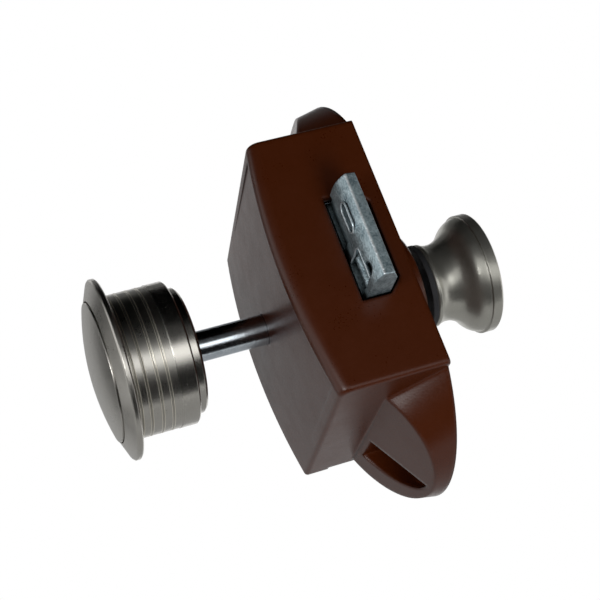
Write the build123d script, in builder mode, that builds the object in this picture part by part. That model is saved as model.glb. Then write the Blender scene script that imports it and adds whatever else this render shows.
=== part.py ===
from build123d import *
import math
import os

# Bathroom door lock: a sprung latch bolt drawn by a sliding spindle with a push button
# on one end and a pull knob on the other. X runs along the spindle, Z along the body.
# The flat face that meets the door lies at X = 0 and the bolt leaves towards -Y.

# Main sizes
part_length = 85.3

# Body moulding
body_length = 54.0
edge_offset = 29.4
blind_offset = 21.3
end_depth = 22.0
cover_rise = 2.5
cover_taper = 1.2
end_taper = 0.5
wall = 2.0
rim_fillet = 2.4
edge_fillet = 0.8
panel_margin = 2.7
panel_step = 0.3
panel_fade = 0.45

# Ears with their screw pockets
ear_reach = 42.8
ear_base_radius = 31.3
ear_top_radius = 18.3
ear_setback = 1.3
ear_root_height = 10.6
ear_tip_height = 2.9
ear_sink = 2.0
ear_trim = 1.6
pocket_inner_y = 3.6
pocket_outer_y = 12.1
pocket_tip_y = -0.4
pocket_mid_y = 8.3
pocket_root = 0.9
pocket_mid_z = 36.9
pocket_end = 1.7
pocket_floor = 2.5
ear_screw_y = 6.2
ear_screw_z = 34.0
ear_screw_radius = 2.1

# Latch bolt
bolt_height = 9.2
bolt_half_length = 10.8
bolt_shift_z = 0.5
bolt_flat_x = -10.5
bolt_ridge_x = -8.9
bolt_top_x = -6.8
bolt_slope_x = -3.5
bolt_ridge_drop = 0.5
slot_height = 5.6
slot_z = 4.0
slot_length = 6.4
slot_width = 3.0
recess_height = 5.0
recess_sink = 2.6
recess_z = -5.4
recess_length = 6.8
recess_depth = 2.4
hole_depth = 3.6
groove_depth = 0.8
groove_height = 1.5
groove_z = 1.0
strip_radius = 1.05
strip_sink = 1.4
strip_height = 0.4
bolt_tail_y = -22.8
bolt_gap_z = 0.45
window_flat_x = -11.7
window_slope_x = -2.9
bolt_flat_height = 4.2
window_chamfer = 2.9
lug_thickness = 2.5
lug_width = 3.0
lug_x = -8.0
bolt_chamfer = 2.4
tail_notch_half = 6.6
tail_notch_depth = 2.4

# Draw frame and its drive
draw_travel = 9.3
spindle_travel = 10.0
sheet = 1.0
frame_gap = 0.7
pin_x = -15.4
pin_radius = 1.5
slot_gap = 0.1
frame_shoulder_y = 7.5
frame_edge = 1.6
frame_tail_gap = 0.5
web_end_y = -13.3
lug_gap = 0.3

# Spindle, springs and washers
spindle_radius = 3.2
running_gap = 0.05
seat_gap = 0.02
spindle_end_gap = 1.4
thread_radius = 2.6
spindle_chamfer = 0.5
pin_stand = 0.25
coil_sides = 6
washer_radius = 6.0
washer_thickness = 0.8
drive_spring_wire = 0.8
drive_spring_radius = 4.6
drive_spring_turns = 3
bolt_spring_wire = 0.5
bolt_spring_radius = 1.85
bolt_spring_turns = 13
bolt_spring_z = 16.0
peg_radius = 1.2
peg_length = 2.0
seat_rib_y = 7.0
seat_rib_thickness = 2.0
seat_rib_x = -6.6
drive_seat_height = 0.2

# Track plate and follower
track_thickness = 2.0
track_half_width = 7.0
track_length = 13.6
track_depth = 1.2
track_end = 0.9
track_pocket_z = 4.4
heart_notch_y = -16.4
heart_point_y = -23.9
heart_lobe = 0.7
heart_lobe_z = 1.9
heart_waist_z = 2.4
follower_radius = 0.4
follower_inset = 1.1
follower_post_z = 17.0
follower_leg = 2.0
follower_rise = 0.4
follower_bend = 0.6
post_radius = 1.8
rivet_radius = 0.9
rivet_head_radius = 1.2
rivet_head = 0.6

# Back plate with its spigot
plate_thickness = 2.0
plate_gap = 0.2
plate_corner = 0.8
spigot_chamfer = 0.6
rail_low_y = -22.0
rail_high_y = 14.0
spigot_radius = 13.0
spigot_reach = 7.6
spigot_wall = 2.0
spigot_end = 1.8
hub_radius = 5.6
rail_inner_z = 13.0
rail_thickness = 1.2
rail_height = 4.0
post_inset = 3.2
screw_post_radius = 2.8
screw_radius = 1.25
screw_length = 8.0
screw_head_radius = 2.5
screw_head_height = 1.4
screw_slot = 0.6

# Button and rosette, placed from the edge of the button's head
button_dome = 2.0
button_head = 1.1
button_floor = 2.5
button_skirt_radius = 13.0
button_wall = 1.3
button_head_radius = 14.3
button_hub = 3.4
shoulder_gap = 0.2
button_hub_radius = 5.6
nut_flats = 8.0
nut_thickness = 3.0
rosette_flange_radius = 18.6
rosette_sink = 1.8
rosette_lip = 0.3
rosette_rim = 1.3
rosette_radius = 14.8
rosette_length = 14.2
rosette_band = 3.7
rosette_groove = 0.25
rosette_edge = 0.3
rosette_step = 0.1
groove_places = (2.3, 4.2, 6.5, 8.6)
rosette_clearance = 2.1
sliding_gap = 0.15

# Knob
bumper_gap = 2.6
bumper_thickness = 1.2
bumper_radius = 9.0
knob_foot_radius = 8.9
knob_neck = 3.15
knob_neck_radius = 8.25
knob_bend = 7.35
knob_bend_radius = 10.4
knob_flare = 10.25
knob_flare_radius = 12.4
knob_rim_radius = 12.8
knob_rim = 10.55
knob_length = 12.85
knob_dome = 0.8
knob_bore = 8.95
bore_gap = 0.4
grub_place = 3.75
grub_radius = 1.5
grub_length = 4.0

half_length = body_length / 2
depth_at_middle = end_depth + cover_rise
bow_radius = (half_length**2 + cover_rise**2) / (2 * cover_rise)
inner_half = half_length - wall
inner_end = inner_half - end_taper
inner_edge_y = -edge_offset + wall
inner_blind_y = blind_offset - wall
cover_slope = cover_taper / (edge_offset + blind_offset)
drive_seat_x = -depth_at_middle + wall + cover_slope * edge_offset + drive_seat_height
ear_trim_y = blind_offset - ear_trim
pocket_root_z = half_length + pocket_root
pocket_tip_z = ear_reach - pocket_end
bolt_tip_y = -edge_offset - bolt_height
rail_middle_z = rail_inner_z + rail_thickness / 2
seat_rib_z = rail_inner_z + rail_thickness + lug_gap
post_y = (inner_edge_y + post_inset, inner_blind_y - post_inset)
post_z = inner_end - post_inset
screw_top_x = -plate_gap - running_gap
screw_tip_x = screw_top_x - screw_length
bolt_low_z = bolt_shift_z - bolt_half_length
bolt_high_z = bolt_shift_z + bolt_half_length
window_low_z = bolt_low_z - bolt_gap_z
window_high_z = bolt_high_z + bolt_gap_z
frame_inner_z = bolt_half_length + frame_gap
frame_outer_z = frame_inner_z + sheet
frame_back_x = pin_x - pin_radius - frame_edge
frame_front_x = -plate_thickness - plate_gap - lug_gap
frame_web_x = bolt_flat_x - lug_gap - sheet
frame_tail_y = inner_edge_y + frame_tail_gap
frame_nose_y = pin_radius + slot_gap + frame_edge
pin_half_length = frame_outer_z + pin_stand
lug_rear_y = bolt_tail_y
lug_front_y = bolt_tail_y - lug_thickness
lug_reach = post_z - screw_post_radius - lug_gap
track_low_y = frame_tail_y + track_end
track_high_y = web_end_y - track_end
rivet_y = (frame_tail_y + web_end_y) / 2
rivet_z = (track_half_width + track_pocket_z) / 2
follower_y = track_high_y - follower_inset
follower_run_x = -end_depth + wall + follower_radius
follower_foot_x = follower_run_x - follower_leg
follower_post_x = follower_run_x - follower_bend - running_gap
follower_tip_x = frame_web_x - track_thickness + track_depth - follower_rise
bumper_x = spigot_reach + bumper_gap
knob_foot_x = bumper_x + bumper_thickness + running_gap
knob_front_x = knob_foot_x + knob_length
knob_bore_x = knob_foot_x + knob_bore
button_apex_x = knob_front_x + knob_dome - part_length
button_edge_x = button_apex_x + button_dome
button_seat_x = button_edge_x + button_head
button_inner_x = button_seat_x + button_floor
rosette_lip_x = button_edge_x + rosette_lip
rosette_front_x = button_edge_x + rosette_sink
rosette_rear_x = rosette_front_x + rosette_length
rosette_band_x = rosette_rear_x - rosette_band
button_rear_x = rosette_rear_x + rosette_clearance
button_hub_x = button_rear_x - button_hub
shoulder_x = button_hub_x + nut_thickness + shoulder_gap
spindle_rear_x = button_inner_x - spindle_end_gap
spindle_front_x = knob_bore_x - bore_gap
grub_x = knob_foot_x + grub_place


os.makedirs("parts", exist_ok=True)


def bow(inset, taper):
    """Surface of the bowed cover, set in by a wall and falling off to the blind side."""
    lean = math.atan2(taper, edge_offset + blind_offset)
    with BuildSketch(
        Plane(
            (0, -edge_offset, 0),
            x_dir=(math.cos(lean), -math.sin(lean), 0),
            z_dir=(math.sin(lean), math.cos(lean), 0),
        )
    ) as circle:
        with Locations((bow_radius - depth_at_middle, 0)):
            Circle(bow_radius - inset)
    return circle.sketch


def bowed_block(inset):
    """Block that is flat at X = 0, bowed on the cover side and tapered to the blind side."""
    with BuildPart() as block:
        with BuildSketch(Plane.YZ):
            with BuildLine():
                Polyline(
                    (-edge_offset + inset, -half_length + inset),
                    (blind_offset - inset, -half_length + end_taper + inset),
                    (blind_offset - inset, half_length - end_taper - inset),
                    (-edge_offset + inset, half_length - inset),
                    close=True,
                )
            make_face()
        extrude(amount=-2 * end_depth)
        extrude(bow(inset, cover_taper), amount=4 * edge_offset, both=True, mode=Mode.INTERSECT)
    return block.part


def save(piece, name):
    """Label a finished piece and write it to its own file."""
    piece.part.label = name
    export_step(piece.part, f"parts/{name}.step")


# Housing: cover, walls, bolt window and ears in one moulding
with BuildPart() as housing:
    add(bowed_block(0))
    fillet(housing.faces().sort_by(Axis.Y)[0].edges().sort_by(Axis.X)[0], rim_fillet)
    ends = housing.faces().sort_by(Axis.Z)
    rim_edges = [edge for end in (ends[0], ends[-1]) for edge in end.edges() if edge.center().X < -wall]
    fillet(rim_edges + [housing.faces().sort_by(Axis.Y)[-1].edges().sort_by(Axis.X)[0]], edge_fillet)

    # Shallow panel set into the bowed cover, running out to the blind side
    with BuildPart(mode=Mode.PRIVATE) as panel:
        with BuildSketch(Plane.YZ.offset(-end_depth / 2)):
            with Locations(((blind_offset - edge_offset) / 2, 0)):
                Rectangle(edge_offset + blind_offset - 2 * panel_margin, 2 * (half_length - panel_margin))
        extrude(amount=-end_depth)
        extrude(bow(panel_step, cover_taper - panel_fade), amount=4 * edge_offset, both=True, mode=Mode.SUBTRACT)
    add(panel.part, mode=Mode.SUBTRACT)

    # Ears: wide at the door face, narrowing upwards, cut to a wedge
    for side in (1, -1):
        for height, radius, reach in (
            (0, ear_base_radius, ear_reach),
            (ear_root_height, ear_top_radius, ear_reach - ear_setback),
        ):
            with BuildSketch(Plane.YZ.offset(-height)):
                with Locations((0, side * (reach - radius))):
                    Circle(radius)
                with Locations((0, side * (half_length - ear_sink - ear_reach))):
                    Rectangle(4 * ear_base_radius, 2 * ear_reach, mode=Mode.SUBTRACT)
        loft()
        with BuildSketch(Plane.XZ.offset(-2 * ear_base_radius)):
            with BuildLine():
                Polyline(
                    (-ear_root_height, side * half_length),
                    (-ear_tip_height, side * ear_reach),
                    (-ear_tip_height, side * (ear_reach + wall)),
                    (-2 * ear_root_height, side * (ear_reach + wall)),
                    (-2 * ear_root_height, side * half_length),
                    close=True,
                )
            make_face()
        extrude(amount=4 * ear_base_radius, mode=Mode.SUBTRACT)
        with BuildSketch(Plane.XZ.offset(-ear_trim_y)):
            with Locations((-ear_root_height / 2, side * ear_reach)):
                Rectangle(2 * ear_root_height, 2 * ear_reach)
        extrude(amount=-ear_base_radius, mode=Mode.SUBTRACT)

    # Hollow inside, open at the door face
    add(bowed_block(wall), mode=Mode.SUBTRACT)

    # Ribs for the bolt springs, posts for the screws and the wire, all grown into the wall
    with BuildPart(mode=Mode.PRIVATE) as stays:
        for side in (1, -1):
            with BuildSketch(Plane.XZ.offset(-seat_rib_y)):
                with Locations(((seat_rib_x - depth_at_middle) / 2, side * (seat_rib_z + half_length) / 2)):
                    Rectangle(seat_rib_x + depth_at_middle, half_length - seat_rib_z)
            extrude(amount=-seat_rib_thickness)
        with BuildSketch(Plane.YZ.offset(-plate_thickness - plate_gap)):
            with Locations(*[(y, z) for y in post_y for z in (post_z, -post_z)]):
                Circle(screw_post_radius)
        extrude(amount=-depth_at_middle)
        with BuildSketch(Plane.YZ.offset(follower_post_x)):
            with Locations((follower_y, follower_post_z)):
                Circle(post_radius)
        extrude(amount=-depth_at_middle)
        with BuildSketch(Plane.YZ.offset(drive_seat_x)):
            Circle(drive_spring_radius + drive_spring_wire)
        extrude(amount=-depth_at_middle)
        add(bowed_block(wall / 2), mode=Mode.INTERSECT)
    add(stays.part)

    # Pegs for the bolt springs and holes for the wire and the screws
    with BuildSketch(Plane.XZ.offset(-seat_rib_y)):
        with Locations((lug_x, bolt_spring_z), (lug_x, -bolt_spring_z)):
            Circle(peg_radius)
    extrude(amount=peg_length)
    with BuildSketch(Plane.YZ.offset(follower_post_x)):
        with Locations((follower_y, follower_post_z)):
            Circle(follower_radius + seat_gap)
    extrude(amount=follower_foot_x - running_gap - follower_post_x, mode=Mode.SUBTRACT)
    with BuildSketch(Plane.YZ.offset(-plate_thickness - plate_gap)):
        with Locations(*[(y, z) for y in post_y for z in (post_z, -post_z)]):
            Circle(screw_radius + seat_gap)
    extrude(amount=-screw_length, mode=Mode.SUBTRACT)

    # Spindle bore through the cover
    with BuildSketch(Plane.YZ.offset(-depth_at_middle - wall)):
        Circle(spindle_radius + running_gap)
    extrude(amount=2 * wall + cover_rise, mode=Mode.SUBTRACT)

    # Window for the bolt, with its two corners on the door side cut off
    with BuildSketch(Plane.XZ.offset(edge_offset + wall)) as window:
        with BuildLine():
            Polyline(
                (window_flat_x, window_low_z),
                (window_slope_x - window_chamfer, window_low_z),
                (window_slope_x, window_low_z + window_chamfer),
                (window_slope_x, window_high_z - window_chamfer),
                (window_slope_x - window_chamfer, window_high_z),
                (window_flat_x, window_high_z),
                close=True,
            )
        make_face()
    extrude(amount=-2.5 * wall, mode=Mode.SUBTRACT)

    # Screw pockets in the ears, each with a floor and a screw hole
    for side in (1, -1):
        with BuildSketch(Plane.YZ.offset(-pocket_floor)):
            with BuildLine():
                Polyline(
                    (pocket_outer_y, side * pocket_root_z),
                    (pocket_inner_y, side * pocket_root_z),
                    (pocket_tip_y, side * pocket_tip_z),
                )
                ThreePointArc(
                    (pocket_tip_y, side * pocket_tip_z),
                    (pocket_mid_y, side * pocket_mid_z),
                    (pocket_outer_y, side * pocket_root_z),
                )
            make_face()
        extrude(amount=-ear_root_height, mode=Mode.SUBTRACT)
        with BuildSketch(Plane.YZ.offset(wall)):
            with Locations((ear_screw_y, side * ear_screw_z)):
                Circle(ear_screw_radius)
        extrude(amount=-3 * wall, mode=Mode.SUBTRACT)
save(housing, "housing")


# Back plate: closes the body and carries the spigot and the guide rails
screw_places = [(y, z) for y in post_y for z in (post_z, -post_z)]
plate_inner_x = -plate_thickness - plate_gap
with BuildPart() as back_plate:
    with BuildSketch(Plane.YZ.offset(plate_inner_x)):
        with BuildLine():
            Polyline(
                (inner_edge_y + plate_gap, -inner_half + plate_gap),
                (inner_blind_y - plate_gap, -inner_end + plate_gap),
                (inner_blind_y - plate_gap, inner_end - plate_gap),
                (inner_edge_y + plate_gap, inner_half - plate_gap),
                close=True,
            )
        make_face()
    extrude(amount=plate_thickness)
    fillet(back_plate.edges().filter_by(Axis.X), plate_corner)
    with BuildSketch(Plane.YZ.offset(-plate_gap)):
        Circle(spigot_radius)
    extrude(amount=spigot_reach + plate_gap)
    chamfer(back_plate.faces().sort_by(Axis.X)[-1].edges(), spigot_chamfer)
    with BuildSketch(Plane.YZ.offset(plate_inner_x)):
        Circle(spigot_radius - spigot_wall)
        Circle(hub_radius, mode=Mode.SUBTRACT)
        Rectangle(2 * spigot_radius, rail_thickness, mode=Mode.SUBTRACT)
        Rectangle(rail_thickness, 2 * spigot_radius, mode=Mode.SUBTRACT)
    extrude(amount=spigot_reach - spigot_end - plate_inner_x, mode=Mode.SUBTRACT)
    with BuildSketch(Plane.YZ.offset(plate_inner_x)):
        with Locations(*[((rail_low_y + rail_high_y) / 2, z) for z in (rail_middle_z, -rail_middle_z)]):
            Rectangle(rail_high_y - rail_low_y, rail_thickness)
    extrude(amount=-rail_height)
    with BuildSketch(Plane.YZ.offset(plate_inner_x)):
        Circle(spindle_radius + running_gap)
    extrude(amount=2 * spigot_reach, mode=Mode.SUBTRACT)
    with Locations(Plane.YZ.offset(-plate_gap)):
        with Locations(*screw_places):
            CounterSinkHole(screw_radius + sliding_gap, screw_head_radius + sliding_gap, plate_thickness)
save(back_plate, "back_plate")

# Four countersunk screws that hold the back plate
with BuildPart() as plate_screws:
    for y, z in screw_places:
        with BuildSketch(Plane((0, y, z), x_dir=(1, 0, 0), z_dir=(0, -1, 0))):
            with BuildLine():
                Polyline(
                    (screw_tip_x, 0),
                    (screw_tip_x + screw_radius, screw_radius),
                    (screw_top_x - screw_head_height, screw_radius),
                    (screw_top_x, screw_head_radius),
                    (screw_top_x, 0),
                    close=True,
                )
            make_face()
        revolve(axis=Axis((0, y, z), (1, 0, 0)))
        with BuildSketch(Plane((screw_top_x, y, z), x_dir=(0, 1, 0), z_dir=(1, 0, 0))):
            Rectangle(2 * screw_radius, screw_slot)
            Rectangle(screw_slot, 2 * screw_radius)
        extrude(amount=-screw_head_height / 2, mode=Mode.SUBTRACT)
save(plate_screws, "plate_screws")

# Latch bolt: die-cast head with recesses in its flat side, tail and two side lugs
with BuildPart() as latch_bolt:
    with BuildSketch(Plane.XY.offset(bolt_low_z)):
        with BuildLine():
            nose_start = (bolt_flat_x, -edge_offset - bolt_flat_height)
            TangentArc(nose_start, (bolt_ridge_x, bolt_tip_y), tangent=(0, -1))
            Polyline(
                (bolt_ridge_x, bolt_tip_y),
                (bolt_top_x, bolt_tip_y + bolt_ridge_drop),
                (bolt_slope_x, -edge_offset),
                (bolt_slope_x, bolt_tail_y),
                (bolt_flat_x, bolt_tail_y),
                nose_start,
            )
        make_face()
    extrude(amount=2 * bolt_half_length)
    tip_edges = latch_bolt.edges().filter_by(Axis.Z).group_by(Axis.Y)[0]
    fillet(tip_edges, bolt_ridge_drop)
    with BuildSketch(Plane.XZ.offset(-bolt_tail_y)):
        with BuildLine():
            Polyline(
                (bolt_flat_x, bolt_low_z),
                (bolt_slope_x - bolt_chamfer, bolt_low_z),
                (bolt_slope_x, bolt_low_z + bolt_chamfer),
                (bolt_slope_x, bolt_high_z - bolt_chamfer),
                (bolt_slope_x - bolt_chamfer, bolt_high_z),
                (bolt_flat_x, bolt_high_z),
                close=True,
            )
        make_face()
    extrude(amount=bolt_tail_y - bolt_tip_y, mode=Mode.INTERSECT)
    with BuildSketch(Plane.YZ.offset(bolt_flat_x)):
        with Locations((bolt_tail_y, 0)):
            Rectangle(2 * tail_notch_depth, 2 * tail_notch_half)
    extrude(amount=bolt_slope_x - bolt_flat_x, mode=Mode.SUBTRACT)
    with BuildSketch(Plane.YZ.offset(bolt_flat_x)):
        with Locations((-edge_offset - slot_height, slot_z)):
            SlotOverall(slot_length, slot_width, rotation=90)
        with Locations((-edge_offset - recess_height / 2 + recess_sink / 2, recess_z)):
            Rectangle(recess_height + recess_sink, recess_length)
    extrude(amount=recess_depth, mode=Mode.SUBTRACT)
    with BuildSketch(Plane.YZ.offset(bolt_flat_x)):
        with Locations((-edge_offset - slot_height, recess_z - recess_length / 4)):
            Circle(slot_width / 2)
    extrude(amount=hole_depth, mode=Mode.SUBTRACT)
    with BuildSketch(Plane.YZ.offset(bolt_flat_x)):
        with Locations((-edge_offset + (recess_sink - groove_height) / 2, (groove_z + bolt_high_z + sheet) / 2)):
            Rectangle(recess_sink + groove_height, bolt_high_z + sheet - groove_z)
    extrude(amount=groove_depth, mode=Mode.SUBTRACT)
    with BuildSketch(Plane.XY.offset(recess_z - recess_length / 2)):
        with Locations((bolt_flat_x + strip_sink, -edge_offset - strip_height)):
            Circle(strip_radius)
    extrude(amount=recess_length)
    for side in (1, -1):
        with BuildSketch(Plane.XY.offset(side * (bolt_half_length - sheet))):
            with Locations((lug_x, (lug_front_y + lug_rear_y) / 2)):
                Rectangle(lug_width, lug_thickness)
        extrude(amount=side * (lug_reach - bolt_half_length + sheet))
    with BuildSketch(Plane.XZ.offset(-lug_rear_y)):
        with Locations((lug_x, bolt_spring_z), (lug_x, -bolt_spring_z)):
            Circle(peg_radius)
    extrude(amount=-peg_length)
save(latch_bolt, "latch_bolt")

# Draw frame: folded sheet with a web and two side plates
with BuildPart() as draw_frame:
    for side in (1, -1):
        with BuildSketch(Plane.XY.offset(side * frame_inner_z)):
            with BuildLine():
                Polyline(
                    (frame_front_x, frame_tail_y),
                    (frame_front_x, -frame_shoulder_y),
                    (pin_x + pin_radius + sheet, frame_nose_y),
                    (frame_back_x, frame_nose_y),
                    (frame_back_x, -frame_nose_y),
                    (frame_web_x, -draw_travel - pin_radius - sheet),
                    (frame_web_x, frame_tail_y),
                    close=True,
                )
            make_face()
            with Locations(((pin_x + pin_x + spindle_travel) / 2, -draw_travel / 2)):
                SlotCenterToCenter(
                    math.hypot(spindle_travel, draw_travel),
                    2 * (pin_radius + slot_gap),
                    rotation=-math.degrees(math.atan2(draw_travel, spindle_travel)),
                    mode=Mode.SUBTRACT,
                )
            with Locations((lug_x, (lug_front_y + lug_rear_y + draw_travel) / 2)):
                Rectangle(lug_width + 2 * lug_gap, lug_thickness + draw_travel + 2 * lug_gap, mode=Mode.SUBTRACT)
        extrude(amount=side * sheet)
    with BuildSketch(Plane.XY.offset(-frame_outer_z)):
        with Locations((frame_web_x + sheet / 2, (frame_tail_y + web_end_y) / 2)):
            Rectangle(sheet, web_end_y - frame_tail_y)
    extrude(amount=2 * frame_outer_z)
    with BuildSketch(Plane.YZ.offset(frame_web_x - sheet)):
        with Locations((rivet_y, rivet_z), (rivet_y, -rivet_z)):
            Circle(rivet_radius + seat_gap)
    extrude(amount=3 * sheet, mode=Mode.SUBTRACT)
    fillet(draw_frame.edges().filter_by(Axis.Y).group_by(Axis.X)[0].group_by(Axis.Z)[0], sheet / 4)
save(draw_frame, "draw_frame")

# Track plate: heart-shaped groove that the follower wire runs in
with BuildPart() as track_plate:
    with BuildSketch(Plane.YZ.offset(frame_web_x)):
        with Locations(((frame_tail_y + web_end_y) / 2, 0)):
            RectangleRounded(web_end_y - frame_tail_y, 2 * track_half_width, sheet)
    extrude(amount=-track_thickness)
    with BuildSketch(Plane.YZ.offset(frame_web_x - track_thickness)):
        with Locations(((track_low_y + track_high_y) / 2, 0)):
            RectangleRounded(track_high_y - track_low_y, 2 * track_pocket_z, track_pocket_z / 2)
        with BuildLine():
            Polyline(
                (heart_notch_y, 0),
                (heart_notch_y + heart_lobe, heart_lobe_z),
                ((heart_notch_y + heart_point_y) / 2, heart_waist_z),
                (heart_point_y, 0),
                ((heart_notch_y + heart_point_y) / 2, -heart_waist_z),
                (heart_notch_y + heart_lobe, -heart_lobe_z),
                close=True,
            )
        make_face(mode=Mode.SUBTRACT)
    extrude(amount=track_depth, mode=Mode.SUBTRACT)
    with BuildSketch(Plane.YZ.offset(frame_web_x + sheet)):
        with Locations((rivet_y, rivet_z), (rivet_y, -rivet_z)):
            Circle(rivet_radius + seat_gap)
    extrude(amount=-2 * track_thickness, mode=Mode.SUBTRACT)
save(track_plate, "track_plate")

with BuildPart() as track_rivets:
    with BuildSketch(Plane.YZ.offset(frame_web_x + sheet)):
        with Locations((rivet_y, rivet_z), (rivet_y, -rivet_z)):
            Circle(rivet_radius)
    extrude(amount=-sheet - track_thickness)
    with BuildSketch(Plane.YZ.offset(frame_web_x - track_thickness)):
        with Locations((rivet_y, rivet_z), (rivet_y, -rivet_z)):
            Circle(rivet_head_radius)
    extrude(amount=-rivet_head)
save(track_rivets, "track_rivets")

# Follower: bent spring wire, one leg in its post and the other in the track
with BuildPart() as follower_wire:
    with BuildLine() as wire_path:
        FilletPolyline(
            (follower_foot_x, follower_y, follower_post_z),
            (follower_run_x, follower_y, follower_post_z),
            (follower_run_x, follower_y, 0),
            (follower_tip_x, follower_y, 0),
            radius=follower_bend,
        )
    with BuildSketch(Plane((follower_foot_x, follower_y, follower_post_z), z_dir=(1, 0, 0))):
        Circle(follower_radius)
    sweep(path=wire_path.line)
save(follower_wire, "follower_wire")

# Spindle with its threaded rear end and the cross hole for the pin
with BuildPart() as spindle:
    with BuildSketch():
        with BuildLine():
            Polyline(
                (spindle_rear_x, 0),
                (spindle_rear_x, thread_radius - spindle_chamfer),
                (spindle_rear_x + spindle_chamfer, thread_radius),
                (shoulder_x, thread_radius),
                (shoulder_x, spindle_radius),
                (spindle_front_x - spindle_chamfer, spindle_radius),
                (spindle_front_x, spindle_radius - spindle_chamfer),
                (spindle_front_x, 0),
                close=True,
            )
        make_face()
    revolve(axis=Axis.X)
    with BuildSketch(Plane.XY.offset(-2 * spindle_radius)):
        with Locations((pin_x, 0)):
            Circle(pin_radius + seat_gap)
    extrude(amount=4 * spindle_radius, mode=Mode.SUBTRACT)
save(spindle, "spindle")

with BuildPart() as cross_pin:
    with BuildSketch(Plane.XY.offset(-pin_half_length)):
        with Locations((pin_x, 0)):
            Circle(pin_radius)
    extrude(amount=2 * pin_half_length)
    chamfer(cross_pin.edges().filter_by(GeomType.CIRCLE), spindle_chamfer / 2)
save(cross_pin, "cross_pin")

washer_front_x = pin_x - pin_radius - running_gap
with BuildPart() as thrust_washer:
    with BuildSketch(Plane.YZ.offset(washer_front_x)):
        Circle(washer_radius)
        Circle(spindle_radius + running_gap, mode=Mode.SUBTRACT)
    extrude(amount=-washer_thickness)
save(thrust_washer, "thrust_washer")


def coil(start, direction, length, radius, wire, turns):
    """Open coil spring whose wire stays between its two end planes."""
    rise = length - wire
    base = Vector(*start) + Vector(*direction) * (wire / 2)
    with BuildPart() as spring:
        with BuildLine():
            turn_path = Helix(rise / turns, rise, radius, center=base, direction=direction)
        with BuildSketch(Plane(turn_path @ 0, z_dir=turn_path % 0)):
            RegularPolygon(wire / 2, coil_sides)
        sweep(path=turn_path, is_frenet=True)
    return spring


# Springs: one drives the spindle out, two push the bolt out
drive_spring = coil(
    (drive_seat_x + running_gap, 0, 0),
    (1, 0, 0),
    washer_front_x - washer_thickness - drive_seat_x - 2 * running_gap,
    drive_spring_radius,
    drive_spring_wire,
    drive_spring_turns,
)
save(drive_spring, "drive_spring")

for name, side in (("upper_bolt_spring", 1), ("lower_bolt_spring", -1)):
    bolt_spring = coil(
        (lug_x, lug_rear_y + running_gap, side * bolt_spring_z),
        (0, 1, 0),
        seat_rib_y - lug_rear_y - 2 * running_gap,
        bolt_spring_radius,
        bolt_spring_wire,
        bolt_spring_turns,
    )
    save(bolt_spring, name)

# Button: domed head over a hollow skirt, with a threaded hub
with BuildPart() as button:
    with BuildSketch():
        with BuildLine():
            TangentArc((button_apex_x, 0), (button_edge_x, button_head_radius), tangent=(0, 1))
            Polyline(
                (button_edge_x, button_head_radius),
                (button_seat_x, button_head_radius),
                (button_seat_x, button_skirt_radius),
                (button_rear_x - spindle_chamfer, button_skirt_radius),
                (button_rear_x, button_skirt_radius - spindle_chamfer),
                (button_rear_x, button_skirt_radius - button_wall),
                (button_inner_x, button_skirt_radius - button_wall),
                (button_inner_x, button_hub_radius),
                (button_hub_x, button_hub_radius),
                (button_hub_x, thread_radius + seat_gap),
                (spindle_rear_x - seat_gap, thread_radius + seat_gap),
                (spindle_rear_x - seat_gap, 0),
                (button_apex_x, 0),
            )
        make_face()
    revolve(axis=Axis.X)
save(button, "button")

with BuildPart() as lock_nut:
    with BuildSketch(Plane.YZ.offset(button_hub_x + seat_gap)):
        RegularPolygon(nut_flats / 2, 6, major_radius=False)
        Circle(thread_radius + seat_gap, mode=Mode.SUBTRACT)
    extrude(amount=nut_thickness)
save(lock_nut, "lock_nut")

# Rosette: thin flange with a recess for the button head and a grooved sleeve
rosette_bore = button_skirt_radius + sliding_gap
with BuildPart() as rosette:
    with BuildSketch():
        with BuildLine():
            Polyline(
                (rosette_rear_x, rosette_bore),
                (rosette_rear_x, rosette_radius - rosette_edge),
                (rosette_rear_x - rosette_edge, rosette_radius),
                (rosette_band_x, rosette_radius),
                (rosette_band_x, rosette_radius - rosette_step),
                (rosette_front_x + rosette_rim, rosette_radius - rosette_step),
                (rosette_front_x + rosette_rim, rosette_flange_radius - rosette_edge),
                (rosette_front_x + rosette_rim - rosette_edge, rosette_flange_radius),
                (rosette_front_x + rosette_edge, rosette_flange_radius),
                (rosette_front_x, rosette_flange_radius - rosette_edge),
                (rosette_lip_x, button_head_radius + 2 * sliding_gap),
                (button_seat_x + sliding_gap, button_head_radius + sliding_gap),
                (button_seat_x + sliding_gap, rosette_bore),
                close=True,
            )
        make_face()
        for groove in groove_places:
            place = rosette_front_x + groove
            with BuildLine():
                Polyline(
                    (place - rosette_groove, rosette_radius),
                    (place - rosette_groove, rosette_radius - rosette_step),
                    (place, rosette_radius - rosette_step - rosette_groove),
                    (place + rosette_groove, rosette_radius - rosette_step),
                    (place + rosette_groove, rosette_radius),
                    close=True,
                )
            make_face(mode=Mode.SUBTRACT)
    revolve(axis=Axis.X)
save(rosette, "rosette")

# Bumper ring between the spigot and the knob
with BuildPart() as bumper_ring:
    with BuildSketch(Plane.YZ.offset(bumper_x)):
        Circle(bumper_radius)
        Circle(spindle_radius + seat_gap, mode=Mode.SUBTRACT)
    extrude(amount=bumper_thickness)
save(bumper_ring, "bumper_ring")

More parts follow.
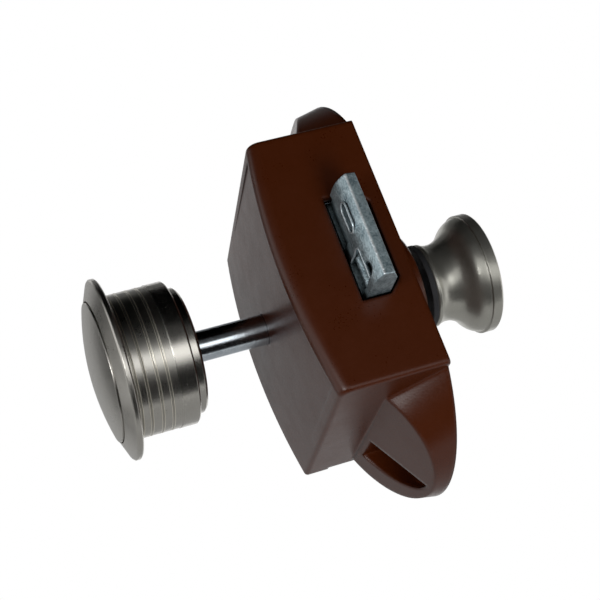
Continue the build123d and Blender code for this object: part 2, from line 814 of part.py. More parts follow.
# Knob: small foot, waisted neck and a flared trumpet with a rim band
with BuildPart() as knob:
    with BuildSketch():
        with BuildLine():
            Polyline(
                (knob_bore_x, 0),
                (knob_bore_x, spindle_radius + seat_gap),
                (knob_foot_x, spindle_radius + seat_gap),
                (knob_foot_x, knob_foot_radius - rosette_edge),
                (knob_foot_x + rosette_edge, knob_foot_radius),
                (knob_foot_x + 3 * rosette_edge, knob_foot_radius),
            )
            TangentArc(
                (knob_foot_x + knob_neck, knob_neck_radius),
                (knob_foot_x + 3 * rosette_edge, knob_foot_radius),
                tangent=(-1, 0),
            )
            waist = TangentArc(
                (knob_foot_x + knob_neck, knob_neck_radius),
                (knob_foot_x + knob_bend, knob_bend_radius),
                tangent=(1, 0),
            )
            TangentArc(
                (knob_foot_x + knob_bend, knob_bend_radius),
                (knob_foot_x + knob_flare, knob_flare_radius),
                tangent=waist % 1,
            )
            Polyline(
                (knob_foot_x + knob_flare, knob_flare_radius),
                (knob_foot_x + knob_rim, knob_flare_radius),
                (knob_foot_x + knob_rim, knob_rim_radius),
                (knob_front_x - rosette_edge, knob_rim_radius),
                (knob_front_x, knob_rim_radius - rosette_edge),
            )
            TangentArc(
                (knob_front_x + knob_dome, 0),
                (knob_front_x, knob_rim_radius - rosette_edge),
                tangent=(0, 1),
            )
            Line((knob_front_x + knob_dome, 0), (knob_bore_x, 0))
        make_face()
    revolve(axis=Axis.X)
    with BuildSketch(Plane.XZ):
        with Locations((grub_x, 0)):
            Circle(grub_radius + seat_gap)
    extrude(amount=-knob_rim_radius, mode=Mode.SUBTRACT)
save(knob, "knob")

with BuildPart() as grub_screw:
    with BuildSketch(Plane.XZ.offset(-spindle_radius - seat_gap)):
        with Locations((grub_x, 0)):
            Circle(grub_radius)
    extrude(amount=-grub_length)
    with BuildSketch(Plane.XZ.offset(-spindle_radius - seat_gap - grub_length)):
        with Locations((grub_x, 0)):
            RegularPolygon(grub_radius / 2, 6)
    extrude(amount=grub_length / 2, mode=Mode.SUBTRACT)
save(grub_screw, "grub_screw")
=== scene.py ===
import bpy
import math
from mathutils import Matrix, Vector


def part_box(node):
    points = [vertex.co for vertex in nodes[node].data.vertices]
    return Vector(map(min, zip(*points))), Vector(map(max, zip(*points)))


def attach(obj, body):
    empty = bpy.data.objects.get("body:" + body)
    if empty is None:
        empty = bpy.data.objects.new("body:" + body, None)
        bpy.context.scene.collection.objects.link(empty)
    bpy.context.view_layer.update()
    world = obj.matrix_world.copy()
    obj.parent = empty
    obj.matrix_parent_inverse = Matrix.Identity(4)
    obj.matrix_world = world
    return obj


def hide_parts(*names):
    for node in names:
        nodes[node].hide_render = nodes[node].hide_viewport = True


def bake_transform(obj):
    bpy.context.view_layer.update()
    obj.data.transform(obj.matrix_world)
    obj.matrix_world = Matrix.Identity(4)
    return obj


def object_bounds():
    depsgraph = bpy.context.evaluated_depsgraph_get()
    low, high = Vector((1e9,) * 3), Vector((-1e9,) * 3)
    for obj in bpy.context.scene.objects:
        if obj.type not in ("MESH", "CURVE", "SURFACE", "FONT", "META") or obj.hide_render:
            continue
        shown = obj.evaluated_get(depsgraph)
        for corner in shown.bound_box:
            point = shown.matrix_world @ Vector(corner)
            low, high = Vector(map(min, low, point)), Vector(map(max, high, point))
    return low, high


mm = 0.001
white = (1.0, 1.0, 1.0, 1.0)
black = (0.0, 0.0, 0.0, 1.0)
scene = bpy.context.scene

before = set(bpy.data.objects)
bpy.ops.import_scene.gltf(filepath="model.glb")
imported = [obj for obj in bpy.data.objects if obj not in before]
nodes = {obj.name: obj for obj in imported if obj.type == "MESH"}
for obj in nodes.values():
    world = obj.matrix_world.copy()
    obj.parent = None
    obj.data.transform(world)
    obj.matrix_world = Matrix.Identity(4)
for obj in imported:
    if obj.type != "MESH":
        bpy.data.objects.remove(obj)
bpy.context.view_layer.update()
print("frame loaded:", len(nodes), "nodes")

# the picture's camera: its place is in metres, its turn is an axis as long as the angle in radians
cameraValues = {
    "place": (-0.09727, -0.28376, -0.10726),
    "turn": (1.148, -0.384, -0.068),
    "lens": 91.56,
    "sensor": 36.0,
}


# places the camera and gives the picture's own axes
def makeCamera(values):
    turn = Vector(values["turn"])
    rows = Matrix.Rotation(turn.length, 3, turn.normalized())
    right, up, forward = rows[0], -rows[1], rows[2]
    data = bpy.data.cameras.new("camera")
    data.lens = values["lens"]
    data.sensor_width = values["sensor"]
    camera = bpy.data.objects.new("camera", data)
    camera.matrix_world = Matrix((right, up, -forward)).transposed().to_4x4()
    camera.location = values["place"]
    scene.collection.objects.link(camera)
    scene.camera = camera
    return right, up, forward


pictureRight, pictureUp, pictureForward = makeCamera(cameraValues)
print("camera placed")


# small helpers for node trees; a setting is the node's own or, with _ for a space, one of its inputs
def addNode(tree, kind, **settings):
    node = tree.nodes.new(kind)
    for name, value in settings.items():
        if hasattr(node, name):
            setattr(node, name, value)
        else:
            node.inputs[name.replace("_", " ")].default_value = value
    return node


def join(tree, source, target):
    tree.links.new(source, target)


# fills an input from another node's output, a colour or a number
def feed(tree, value, target):
    if isinstance(value, bpy.types.NodeSocket):
        join(tree, value, target)
    elif isinstance(value, tuple):
        target.default_value = (*value, 1.0)
    else:
        target.default_value = value


def calculate(tree, operation, first, second):
    node = addNode(tree, "ShaderNodeMath", operation=operation)
    join(tree, first, node.inputs[0])
    join(tree, second, node.inputs[1])
    return node.outputs[0]


def mix(tree, kind, factor, first, second):
    node = addNode(tree, "ShaderNodeMix", data_type=kind)
    for label, value in (("Factor", factor), ("A", first), ("B", second)):
        feed(tree, value, node.inputs[label])
    return node.outputs["Result"]


# takes a value from one range to another and holds it at the ends
def mapRange(tree, value, given=(0.0, 1.0), wanted=(0.0, 1.0)):
    node = addNode(tree, "ShaderNodeMapRange", clamp=True)
    labels = ("Value", "From Min", "From Max", "To Min", "To Max")
    for label, end in zip(labels, (value, *given, *wanted)):
        feed(tree, end, node.inputs[label])
    return node.outputs[0]


# noise keeps near its middle, so this part of it is stretched to run from nought to one
noiseRange = (0.3, 0.7)


# where a point lies on the object along each axis
def objectPlace(tree):
    place = addNode(tree, "ShaderNodeTexCoord")
    parts = addNode(tree, "ShaderNodeSeparateXYZ")
    join(tree, place.outputs["Object"], parts.inputs[0])
    return parts.outputs


# the straight distance made up of two at right angles
def distanceOf(tree, first, second):
    flat = addNode(tree, "ShaderNodeCombineXYZ")
    join(tree, first, flat.inputs["X"])
    join(tree, second, flat.inputs["Y"])
    reach = addNode(tree, "ShaderNodeVectorMath", operation="LENGTH")
    join(tree, flat.outputs[0], reach.inputs[0])
    return reach.outputs["Value"]


def newGroup(name, inputs, output):
    group = bpy.data.node_groups.new(name, "ShaderNodeTree")
    for label, value in inputs.items():
        socket = group.interface.new_socket(label, in_out="INPUT", socket_type="NodeSocketFloat")
        socket.default_value = value
    group.interface.new_socket(output, in_out="OUTPUT", socket_type="NodeSocketFloat")
    return group, group.nodes.new("NodeGroupInput"), group.nodes.new("NodeGroupOutput")


def useGroup(tree, group, **values):
    node = tree.nodes.new("ShaderNodeGroup")
    node.node_tree = group
    for label, value in values.items():
        node.inputs[label].default_value = value
    return node.outputs[0]


# fine lines left by a lathe: noise drawn out round the spindle's axis
def makeTurnedLines():
    group, given, result = newGroup("turnedLines", {"Fineness": 9000.0}, "Lines")
    place = objectPlace(group)
    radius = distanceOf(group, place["Y"], place["Z"])
    along = calculate(group, "ADD", place["X"], radius)
    noise = addNode(group, "ShaderNodeTexNoise", noise_dimensions="1D", Scale=1.0, Detail=3.0)
    join(group, calculate(group, "MULTIPLY", along, given.outputs["Fineness"]), noise.inputs["W"])
    join(group, mapRange(group, noise.outputs["Fac"], noiseRange), result.inputs["Lines"])
    return group


# cloudy tone at two sizes, for castings, plating and moulded plastic
cloudValues = {
    "Size": {"Detail": 4.0, "Roughness": 0.6},
    "Grain": {"Detail": 2.0, "Roughness": 0.5},
}


def makeClouds():
    group, given, result = newGroup("clouds", {"Size": 300.0, "Grain": 2500.0, "Mix": 0.5}, "Tone")
    place = addNode(group, "ShaderNodeTexCoord")
    tones = []
    for label, settings in cloudValues.items():
        noise = addNode(group, "ShaderNodeTexNoise", **settings)
        join(group, place.outputs["Object"], noise.inputs["Vector"])
        join(group, given.outputs[label], noise.inputs["Scale"])
        tones.append(noise.outputs["Fac"])
    both = mix(group, "FLOAT", given.outputs["Mix"], *tones)
    join(group, mapRange(group, both, noiseRange), result.inputs["Tone"])
    return group


# small scattered spots, for dust on plastic or pinholes in a casting
def makeSpecks():
    group, given, result = newGroup("specks", {"Density": 900.0, "Amount": 0.12}, "Specks")
    place = addNode(group, "ShaderNodeTexCoord")
    cells = addNode(group, "ShaderNodeTexVoronoi", Randomness=1.0)
    join(group, place.outputs["Object"], cells.inputs["Vector"])
    join(group, given.outputs["Density"], cells.inputs["Scale"])
    near = calculate(group, "LESS_THAN", cells.outputs["Distance"], given.outputs["Amount"])
    join(group, near, result.inputs["Specks"])
    return group


# one on a line that runs along Z, falling to nought at the width from it
def makeNearLine():
    group, given, result = newGroup("nearLine", {"X": 0.0, "Y": 0.0, "Width": 0.001}, "Mask")
    place = objectPlace(group)
    away = [calculate(group, "SUBTRACT", place[label], given.outputs[label]) for label in ("X", "Y")]
    mask = mapRange(group, distanceOf(group, *away), (0.0, given.outputs["Width"]), (1.0, 0.0))
    join(group, mask, result.inputs["Mask"])
    return group


# nought before a place along X, one after it
def makeBeyond():
    group, given, result = newGroup("beyond", {"X": 0.0, "Soft": 0.0002}, "Mask")
    end = calculate(group, "ADD", given.outputs["X"], given.outputs["Soft"])
    mask = mapRange(group, objectPlace(group)["X"], (given.outputs["X"], end))
    join(group, mask, result.inputs["Mask"])
    return group


turnedLines = makeTurnedLines()
clouds = makeClouds()
specks = makeSpecks()
nearLine = makeNearLine()
beyond = makeBeyond()


def newMaterial(name, **sockets):
    material = bpy.data.materials.new(name)
    material.use_nodes = True
    shader = material.node_tree.nodes["Principled BSDF"]
    for label, value in sockets.items():
        shader.inputs[label.replace("_", " ")].default_value = value
    return material, material.node_tree, shader


# what the finishes of a kind share, such as the part that the fine grain has in the clouds
surfaceValues = {
    "plasticGrain": 0.55,
    "turnedGrain": 0.4,
    "castGrain": 0.45,
    "pitSize": 0.16,
    "edgeSamples": 8,
    "hollowSamples": 12,
}


# two tones and two roughnesses mixed by one mask; gives the tone
def addTones(tree, shader, mask, colours, roughness):
    tone = mix(tree, "RGBA", mask, *colours)
    join(tree, tone, shader.inputs["Base Color"])
    join(tree, mapRange(tree, mask, wanted=roughness), shader.inputs["Roughness"])
    return tone


# relief from a height, with the piece's edges shaded as if they were rounded
def addBump(tree, shader, height, values):
    bump = addNode(tree, "ShaderNodeBump", Strength=values["bump"], Distance=values["depth"])
    soft = addNode(tree, "ShaderNodeBevel", samples=surfaceValues["edgeSamples"], Radius=values["round"])
    join(tree, soft.outputs[0], bump.inputs["Normal"])
    join(tree, height, bump.inputs["Height"])
    join(tree, bump.outputs["Normal"], shader.inputs["Normal"])


def addClouds(tree, values, grainShare):
    return useGroup(tree, clouds, Size=values["size"], Grain=values["grain"], Mix=grainShare)


def makePlastic(name, values):
    material, tree, shader = newMaterial(name, Specular_IOR_Level=values["specular"])
    cloudy = addClouds(tree, values, surfaceValues["plasticGrain"])
    tone = addTones(tree, shader, cloudy, values["colours"], values["roughness"])
    addBump(tree, shader, cloudy, values)
    if "dust" in values:
        dusty = useGroup(tree, specks, Density=values["dust"], Amount=values["dustSize"])
        join(tree, mix(tree, "RGBA", dusty, tone, values["dustColour"]), shader.inputs["Base Color"])
    return material


# turned metal; short of the band's place along X it is rougher
def makeTurned(name, values):
    material, tree, shader = newMaterial(name, Metallic=values["metallic"])
    lines = useGroup(tree, turnedLines, Fineness=values["fineness"])
    cloudy = addClouds(tree, values, surfaceValues["turnedGrain"])
    both = mix(tree, "FLOAT", values["lineShare"], cloudy, lines)
    roughness = values["roughness"]
    if "band" in values:
        past = useGroup(tree, beyond, X=values["band"])
        roughness = [mapRange(tree, past, wanted=(end + values["rougher"], end)) for end in roughness]
    addTones(tree, shader, both, values["colours"], roughness)
    addBump(tree, shader, both, values)
    return material


def makeCast(name, values):
    material, tree, shader = newMaterial(name, Metallic=values["metallic"])
    cloudy = addClouds(tree, values, surfaceValues["castGrain"])
    pits = useGroup(tree, specks, Density=values["pits"], Amount=surfaceValues["pitSize"])
    tone = addTones(tree, shader, cloudy, values["colours"], values["roughness"])
    addBump(tree, shader, calculate(tree, "SUBTRACT", cloudy, pits), values)
    # painted shade in hollows and a painted highlight on a ridge, where the finish has them
    if "hollow" in values:
        join(tree, shadeHollows(tree, tone, values["hollow"]), shader.inputs["Base Color"])
    return material


# painted shade: darker in corners and recesses, by how closed in they are; painted highlight: bright along one
# ridge line
def shadeHollows(tree, tone, values):
    occlusion = addNode(tree, "ShaderNodeAmbientOcclusion",
                        samples=surfaceValues["hollowSamples"], Distance=values["reach"])
    openness = mapRange(tree, occlusion.outputs["AO"], (values["from"], values["to"]))
    shade = mix(tree, "RGBA", openness, values["dark"], tone)
    ridgeX, ridgeY = values["highlightRidge"]
    highlightRidge = useGroup(tree, nearLine, X=ridgeX, Y=ridgeY, Width=values["ridgeWidth"])
    return mix(tree, "RGBA", highlightRidge, shade, values["highlightTone"])


# colours are linear; sizes and grains are noise scales, and lengths are in metres
finishValues = {
    "chocolatePlastic": {
        "maker": makePlastic, "colours": ((0.038, 0.0070, 0.0010), (0.044, 0.0086, 0.0015)),
        "roughness": (0.26, 0.38), "specular": 0.4, "size": 180.0, "grain": 2600.0,
        "round": 0.0012, "bump": 0.09, "depth": 0.0001,
        "dust": 150.0, "dustSize": 0.016, "dustColour": (0.20, 0.15, 0.11)},
    "boltCasting": {
        "maker": makeCast, "metallic": 0.7, "colours": ((0.07, 0.12, 0.145), (0.56, 0.68, 0.72)),
        "roughness": (0.26, 0.44), "size": 420.0, "grain": 2400.0, "pits": 1500.0,
        "round": 0.0004, "bump": 0.35, "depth": 0.0003,
        # painted shade in the bolt's slot and recess, and a painted highlight along its ridge
        "hollow": {"reach": 0.0020, "from": 0.35, "to": 0.88, "dark": (0.004, 0.006, 0.007),
                   "highlightRidge": (-0.0089, -0.0386), "ridgeWidth": 0.0004, "highlightTone": (0.80, 0.84, 0.86)}},
    "boltEdges": {
        "maker": makeCast, "metallic": 0.6, "colours": ((0.38, 0.46, 0.50), (0.70, 0.76, 0.78)),
        "roughness": (0.22, 0.38), "size": 420.0, "grain": 2400.0, "pits": 1500.0,
        "round": 0.0001, "bump": 0.2, "depth": 0.0002},
    "plungerChrome": {
        "maker": makeTurned, "metallic": 1.0, "colours": ((0.44, 0.50, 0.55), (0.66, 0.71, 0.75)),
        "roughness": (0.12, 0.24), "lineShare": 0.25, "fineness": 5200.0, "size": 600.0, "grain": 3200.0,
        "round": 0.0003, "bump": 0.18, "depth": 0.00008},
    "satinNickel": {
        "maker": makeTurned, "metallic": 1.0, "colours": ((0.42, 0.405, 0.37), (0.52, 0.505, 0.465)),
        "roughness": (0.20, 0.29), "lineShare": 0.3, "fineness": 9000.0, "size": 240.0, "grain": 5200.0,
        "round": 0.0003, "bump": 0.12, "depth": 0.00005, "band": -0.0461, "rougher": 0.05},
    # painted highlight: lighter than the sleeve's nickel, standing in for the light the groove lips catch
    "grooveHighlightNickel": {
        "maker": makeTurned, "metallic": 1.0, "colours": ((0.70, 0.67, 0.58), (0.82, 0.79, 0.70)),
        "roughness": (0.30, 0.40), "lineShare": 0.5, "fineness": 9000.0, "size": 240.0, "grain": 4200.0,
        "round": 0.0001, "bump": 0.05, "depth": 0.00005},
    "knobNickel": {
        "maker": makeTurned, "metallic": 0.9, "colours": ((0.39, 0.385, 0.345), (0.50, 0.49, 0.44)),
        "roughness": (0.27, 0.37), "lineShare": 0.2, "fineness": 7000.0, "size": 200.0, "grain": 4800.0,
        "round": 0.0004, "bump": 0.12, "depth": 0.00006},
    "zincPlate": {
        "maker": makeCast, "metallic": 1.0, "colours": ((0.50, 0.52, 0.55), (0.64, 0.66, 0.68)),
        "roughness": (0.20, 0.36), "size": 500.0, "grain": 2600.0, "pits": 2400.0,
        "round": 0.0002, "bump": 0.12, "depth": 0.0001},
    "springWire": {
        "maker": makeCast, "metallic": 1.0, "colours": ((0.40, 0.40, 0.42), (0.55, 0.55, 0.57)),
        "roughness": (0.18, 0.30), "size": 900.0, "grain": 4000.0, "pits": 3000.0,
        "round": 0.0001, "bump": 0.05, "depth": 0.00005},
    "blackRubber": {
        "maker": makePlastic, "colours": ((0.012, 0.012, 0.013), (0.022, 0.022, 0.024)),
        "roughness": (0.55, 0.75), "specular": 0.4, "size": 400.0, "grain": 3800.0,
        "round": 0.0004, "bump": 0.3, "depth": 0.0001},
    "naturalAcetal": {
        "maker": makePlastic, "colours": ((0.74, 0.73, 0.68), (0.80, 0.79, 0.75)),
        "roughness": (0.30, 0.42), "specular": 0.5, "size": 300.0, "grain": 2600.0,
        "round": 0.0003, "bump": 0.08, "depth": 0.00008},
    "blackenedSteel": {
        "maker": makeCast, "metallic": 0.8, "colours": ((0.03, 0.03, 0.032), (0.06, 0.06, 0.063)),
        "roughness": (0.35, 0.5), "size": 800.0, "grain": 4000.0, "pits": 2500.0,
        "round": 0.0002, "bump": 0.1, "depth": 0.0001},
}
finishes = {name: values["maker"](name, values) for name, values in finishValues.items()}
print("finishes made:", len(finishes))

# which finish each piece of the frame wears
finishOf = {
    "housing": "chocolatePlastic",
    "back_plate": "chocolatePlastic",
    "plate_screws": "zincPlate",
    "follower_wire": "springWire",
    "drive_spring": "springWire",
    "upper_bolt_spring": "springWire",
    "lower_bolt_spring": "springWire",
    "latch_bolt": "boltCasting",
    "draw_frame": "zincPlate",
    "track_plate": "naturalAcetal",
    "track_rivets": "zincPlate",
    "spindle": "plungerChrome",
    "cross_pin": "plungerChrome",
    "thrust_washer": "zincPlate",
    "button": "satinNickel",
    "lock_nut": "zincPlate",
    "rosette": "satinNickel",
    "bumper_ring": "blackRubber",
    "knob": "knobNickel",
    "grub_screw": "blackenedSteel",
}
for name, finish in finishOf.items():
    nodes[name].data.materials.clear()
    nodes[name].data.materials.append(finishes[finish])


# small helpers for pieces grown by geometry nodes
def newGrowth(name, inputs):
    growth = bpy.data.node_groups.new(name, "GeometryNodeTree")
    growth.interface.new_socket("Geometry", in_out="INPUT", socket_type="NodeSocketGeometry")
    for label, value in inputs.items():
        socket = growth.interface.new_socket(label, in_out="INPUT", socket_type="NodeSocketFloat")
        socket.default_value = value
    growth.interface.new_socket("Finish", in_out="INPUT", socket_type="NodeSocketMaterial")
    growth.interface.new_socket("Geometry", in_out="OUTPUT", socket_type="NodeSocketGeometry")
    return growth, growth.nodes.new("NodeGroupInput"), growth.nodes.new("NodeGroupOutput")


def closeGrowth(growth, given, result, shape):
    real = addNode(growth, "GeometryNodeRealizeInstances")
    dress = addNode(growth, "GeometryNodeSetMaterial")
    join(growth, shape, real.inputs[0])
    join(growth, real.outputs[0], dress.inputs["Geometry"])
    join(growth, given.outputs["Finish"], dress.inputs["Material"])
    join(growth, dress.outputs[0], result.inputs[0])
    return growth


# a round wire along a curve, closed at its ends where the curve has any
def addTube(growth, curve, wire, sides, capped):
    section = addNode(growth, "GeometryNodeCurvePrimitiveCircle", Resolution=sides)
    join(growth, wire, section.inputs["Radius"])
    tube = addNode(growth, "GeometryNodeCurveToMesh", Fill_Caps=capped)
    join(growth, curve, tube.inputs["Curve"])
    join(growth, section.outputs[0], tube.inputs["Profile Curve"])
    return tube.outputs[0]


# how finely the grown pieces are divided: round a ring, round a spring's turn, round a wire
growthSteps = {"ring": 160, "turn": 32, "lipWire": 10, "springWire": 12}


# a ring round X at each point of the base mesh
def makeRingGrowth():
    growth, given, result = newGrowth("ringGrowth", {"Radius": 0.01, "Wire": 0.0001})
    circle = addNode(growth, "GeometryNodeCurvePrimitiveCircle", Resolution=growthSteps["ring"])
    join(growth, given.outputs["Radius"], circle.inputs["Radius"])
    tube = addTube(growth, circle.outputs[0], given.outputs["Wire"], growthSteps["lipWire"], False)
    turned = addNode(growth, "GeometryNodeTransform", Rotation=(0.0, math.pi / 2, 0.0))
    join(growth, tube, turned.inputs["Geometry"])
    placed = addNode(growth, "GeometryNodeInstanceOnPoints")
    join(growth, given.outputs["Geometry"], placed.inputs["Points"])
    join(growth, turned.outputs[0], placed.inputs["Instance"])
    return closeGrowth(growth, given, result, placed.outputs[0])


# a raised edge along the lines of the base mesh, uneven as cast metal is
unevenNoise = {"Scale": 900.0, "Detail": 2.0}
noiseMiddle = (0.5, 0.5, 0.5)


def makeEdgeGrowth():
    inputs = {"Wire": 0.0002, "Uneven": 0.0001, "Step": 0.0002}
    growth, given, result = newGrowth("edgeGrowth", inputs)
    path = addNode(growth, "GeometryNodeMeshToCurve")
    join(growth, given.outputs["Geometry"], path.inputs["Mesh"])
    even = addNode(growth, "GeometryNodeResampleCurve", mode="LENGTH")
    join(growth, path.outputs[0], even.inputs["Curve"])
    join(growth, given.outputs["Step"], even.inputs["Length"])
    place = addNode(growth, "GeometryNodeInputPosition")
    noise = addNode(growth, "ShaderNodeTexNoise", **unevenNoise)
    join(growth, place.outputs[0], noise.inputs["Vector"])
    centred = addNode(growth, "ShaderNodeVectorMath", operation="SUBTRACT")
    centred.inputs[1].default_value = noiseMiddle
    join(growth, noise.outputs["Color"], centred.inputs[0])
    shift = addNode(growth, "ShaderNodeVectorMath", operation="SCALE")
    join(growth, centred.outputs[0], shift.inputs[0])
    join(growth, given.outputs["Uneven"], shift.inputs["Scale"])
    moved = addNode(growth, "GeometryNodeSetPosition")
    join(growth, even.outputs[0], moved.inputs["Geometry"])
    join(growth, shift.outputs[0], moved.inputs["Offset"])
    tube = addTube(growth, moved.outputs[0], given.outputs["Wire"], growthSteps["lipWire"], True)
    return closeGrowth(growth, given, result, tube)


# a coil of round wire that climbs along Z
def makeCoilGrowth():
    inputs = {"Turns": 5.0, "Radius": 0.005, "Height": 0.01, "Wire": 0.0005, "Start": 0.0}
    growth, given, result = newGrowth("coilGrowth", inputs)
    spiral = addNode(growth, "GeometryNodeCurveSpiral", Resolution=growthSteps["turn"])
    join(growth, given.outputs["Turns"], spiral.inputs["Rotations"])
    join(growth, given.outputs["Radius"], spiral.inputs["Start Radius"])
    join(growth, given.outputs["Radius"], spiral.inputs["End Radius"])
    join(growth, given.outputs["Height"], spiral.inputs["Height"])
    start = addNode(growth, "ShaderNodeCombineXYZ")
    join(growth, given.outputs["Start"], start.inputs["Z"])
    turned = addNode(growth, "GeometryNodeTransform")
    join(growth, spiral.outputs[0], turned.inputs["Geometry"])
    join(growth, start.outputs[0], turned.inputs["Rotation"])
    tube = addTube(growth, turned.outputs[0], given.outputs["Wire"], growthSteps["springWire"], True)
    return closeGrowth(growth, given, result, tube)


# grows a piece from points and lines in mm, then keeps it as a plain mesh
def growPiece(name, growth, slot, finish, points=((0, 0, 0),), lines=(), place=None, **given):
    base = bpy.data.meshes.new(name)
    base.from_pydata([Vector(point) * mm for point in points], lines, [])
    piece = bpy.data.objects.new(name, base)
    scene.collection.objects.link(piece)
    modifier = piece.modifiers.new(name, "NODES")
    modifier.node_group = growth
    inputs = [item for item in growth.interface.items_tree if item.in_out == "INPUT"]
    sockets = {item.name: item.identifier for item in inputs}
    modifier[sockets["Finish"]] = finishes[finish]
    for label, value in given.items():
        modifier[sockets[label]] = value
    evaluated = piece.evaluated_get(bpy.context.evaluated_depsgraph_get())
    grown = bpy.data.meshes.new_from_object(evaluated)
    piece.modifiers.clear()
    if place:
        grown.transform(place)
    piece.data = grown
    grown.shade_smooth()
    return piece


ringGrowth = makeRingGrowth()
edgeGrowth = makeEdgeGrowth()
coilGrowth = makeCoilGrowth()

# raised lips on both sides of each of the sleeve's grooves, lighter than the sleeve as a painted highlight;
# places in mm from the flange's front
grooveValues = {"front": -56.4, "places": (2.3, 4.2, 6.5, 8.6), "half": 0.27, "radius": 14.64, "wire": 0.10}
lipPoints = [(grooveValues["front"] + place + side * grooveValues["half"], 0, 0)
             for place in grooveValues["places"] for side in (-1, 1)]
grooveLips = growPiece("grooveLips", ringGrowth, "trim_metal", "grooveHighlightNickel", points=lipPoints,
                       Radius=grooveValues["radius"] * mm, Wire=grooveValues["wire"] * mm)
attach(grooveLips, "rosette_ring")

# the bolt's slot and recess have thin raised edges left by the casting; flat is their place along X
boltValues = {
    "flat": -10.38, "slotY": -35.0, "slotZ": 4.0, "reach": 1.7, "radius": 1.5, "steps": 12,
    "recess": [(-27.6, -1.9), (-31.0, -2.1), (-33.0, -1.8), (-34.4, -2.3), (-34.5, -5.0), (-34.4, -8.6)],
    "wire": 0.2, "uneven": 0.14, "step": 0.25,
}


# the slot is a straight piece along Z with a half circle at each end
def slotOutline(values):
    points = []
    for end in (1, -1):
        for step in range(values["steps"] + 1):
            turn = math.pi * step / values["steps"] * end
            y = values["slotY"] - end * values["radius"] * math.cos(turn)
            z = values["slotZ"] + end * values["reach"] + values["radius"] * math.sin(turn)
            points.append((values["flat"], y, z))
    return points


slotPoints = slotOutline(boltValues)
recessPoints = [(boltValues["flat"], y, z) for y, z in boltValues["recess"]]
slotCount = len(slotPoints)
slotLines = [(spot, (spot + 1) % slotCount) for spot in range(slotCount)]
recessLines = [(slotCount + spot, slotCount + spot + 1) for spot in range(len(recessPoints) - 1)]
boltLips = growPiece("boltLips", edgeGrowth, "bolt_metal", "boltEdges", points=slotPoints + recessPoints,
                     lines=slotLines + recessLines, Wire=boltValues["wire"] * mm,
                     Uneven=boltValues["uneven"] * mm, Step=boltValues["step"] * mm)
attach(boltLips, "latch")

# round-wire springs in mm; each is cut into equal parts, one for each gap between the bodies listed along it
springValues = [
    {"name": "driveSpring", "node": "drive_spring", "axis": 0, "radius": 3.68, "wire": 0.26, "turns": 4.0,
     "bodies": ["body", "plunger"]},
    {"name": "upperSpring", "node": "upper_bolt_spring", "axis": 1, "radius": 1.85, "wire": 0.25, "turns": 13.0,
     "bodies": ["latch", "draw", "body"]},
    {"name": "lowerSpring", "node": "lower_bolt_spring", "axis": 1, "radius": 1.85, "wire": 0.25, "turns": 13.0,
     "bodies": ["latch", "draw", "body"]},
]


def makeSprings(values):
    low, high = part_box(values["node"])
    along = Vector([1.0 if axis == values["axis"] else 0.0 for axis in range(3)])
    centre = (low + high) / 2
    start = centre - along * (high - low)[values["axis"]] / 2
    reach = (high - low)[values["axis"]] - 2 * values["wire"] * mm
    bodies = values["bodies"]
    parts = len(bodies) - 1
    for part in range(parts):
        begin = start + along * (values["wire"] * mm + reach * part / parts)
        place = Matrix.Translation(begin) @ along.to_track_quat("Z", "Y").to_matrix().to_4x4()
        spring = growPiece(
            values["name"] + str(part), coilGrowth, "wire_metal", "springWire", place=place,
            Turns=values["turns"] / parts, Radius=values["radius"] * mm, Height=reach / parts,
            Wire=values["wire"] * mm, Start=math.tau * (values["turns"] * part / parts % 1.0))
        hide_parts(values["node"])
        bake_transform(spring)


for values in springValues:
    makeSprings(values)
print("small pieces grown")

# soft studio light: the world is white where it is seen, also in metal, and a little dimmer to the rest
lampValues = {
    "seen": 1.0,
    "world": 0.80,
    "lamps": [
        {"name": "leftLamp", "right": -0.36, "up": -0.08, "back": 0.58,
         "size": 0.17, "watts": 1.3, "shine": True},
        {"name": "rightLamp", "right": 0.28, "up": 0.08, "back": 0.64,
         "size": 0.26, "watts": 0.20, "shine": True},
        {"name": "fillLamp", "right": 0.25, "up": -0.19, "back": 0.54,
         "size": 0.30, "watts": 2.6, "shine": False},
    ],
}

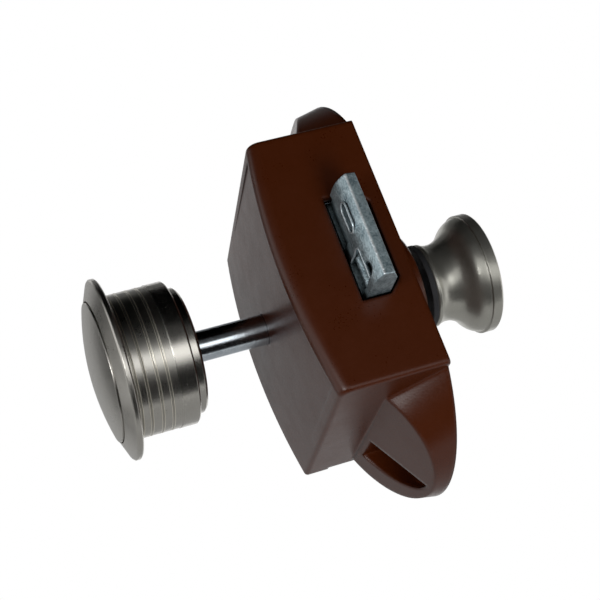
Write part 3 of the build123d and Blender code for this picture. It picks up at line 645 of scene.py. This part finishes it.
# dark and grey cards round the object, hidden from the camera, for the bands in metal; tilt is in degrees
cardValues = [
    {"name": "ceilingCard", "grey": 0.0, "right": 0.0, "up": 0.50, "back": -0.02,
     "wide": 2.6, "deep": 0.90, "tilt": 0},
    {"name": "highCard", "grey": 0.16, "right": 0.0, "up": 0.50, "back": -0.82,
     "wide": 2.6, "deep": 0.68, "tilt": 0},
    {"name": "upperCard", "grey": 0.06, "right": 0.0, "up": 0.415, "back": 0.65,
     "wide": 2.6, "deep": 0.47, "tilt": 22},
    {"name": "lowerCard", "grey": 0.01, "right": 0.0, "up": -0.48, "back": 0.546,
     "wide": 2.6, "deep": 0.82, "tilt": -48},
    {"name": "underCard", "grey": 0.42, "right": 0.0, "up": -0.66, "back": -0.52,
     "wide": 2.6, "deep": 1.36, "tilt": 0},
    {"name": "leftCard", "grey": 0.48, "right": -0.54, "up": -0.30, "back": -0.85,
     "wide": 0.66, "deep": 0.96, "tilt": 90},
    {"name": "sideCard", "grey": 0.04, "right": -0.80, "up": 0.10, "back": -0.38,
     "wide": 0.76, "deep": 0.90, "tilt": 90},
]


# from the object's middle to a lamp or card, whose place is given along the picture's axes
def pictureOffset(values):
    return pictureRight * values["right"] + pictureUp * values["up"] - pictureForward * values["back"]


# one for a ray of any of the kinds
def anyRay(tree, kinds):
    path = addNode(tree, "ShaderNodeLightPath")
    total = path.outputs[kinds[0]]
    for kind in kinds[1:]:
        total = calculate(tree, "MAXIMUM", total, path.outputs[kind])
    return total


def makeLight(values, target):
    world = bpy.data.worlds.new("world")
    scene.world = world
    world.use_nodes = True
    tree = world.node_tree
    background = tree.nodes["Background"]
    background.inputs["Color"].default_value = white
    seen = anyRay(tree, ["Is Glossy Ray", "Is Camera Ray", "Is Transmission Ray"])
    strength = mapRange(tree, seen, wanted=(values["world"], values["seen"]))
    join(tree, strength, background.inputs["Strength"])
    for lamp in values["lamps"]:
        data = bpy.data.lights.new(lamp["name"], "AREA")
        data.shape = "DISK"
        data.size = lamp["size"]
        data.energy = lamp["watts"]
        light = bpy.data.objects.new(lamp["name"], data)
        light.visible_glossy = lamp["shine"]
        offset = pictureOffset(lamp)
        light.location = target + offset
        light.rotation_euler = (-offset).to_track_quat("-Z", "Y").to_euler()
        scene.collection.objects.link(light)


def makeCard(values, target):
    mesh = bpy.data.meshes.new(values["name"])
    tilt = math.radians(values["tilt"])
    across = pictureRight * values["wide"] / 2
    along = (pictureForward * -math.cos(tilt) - pictureUp * math.sin(tilt)) * values["deep"] / 2
    corners = [-across - along, across - along, across + along, along - across]
    mesh.from_pydata(corners, [], [(0, 1, 2, 3)])
    material = newMaterial(
        values["name"], Base_Color=black, Specular_IOR_Level=0.0,
        Emission_Color=white, Emission_Strength=values["grey"])[0]
    mesh.materials.append(material)
    card = bpy.data.objects.new(values["name"], mesh)
    card.location = target + pictureOffset(values)
    card.visible_camera = False
    scene.collection.objects.link(card)


middle = sum(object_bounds(), Vector()) / 2
makeLight(lampValues, middle)
for values in cardValues:
    makeCard(values, middle)
scene.view_settings.view_transform = "Standard"
print("light and cards placed")
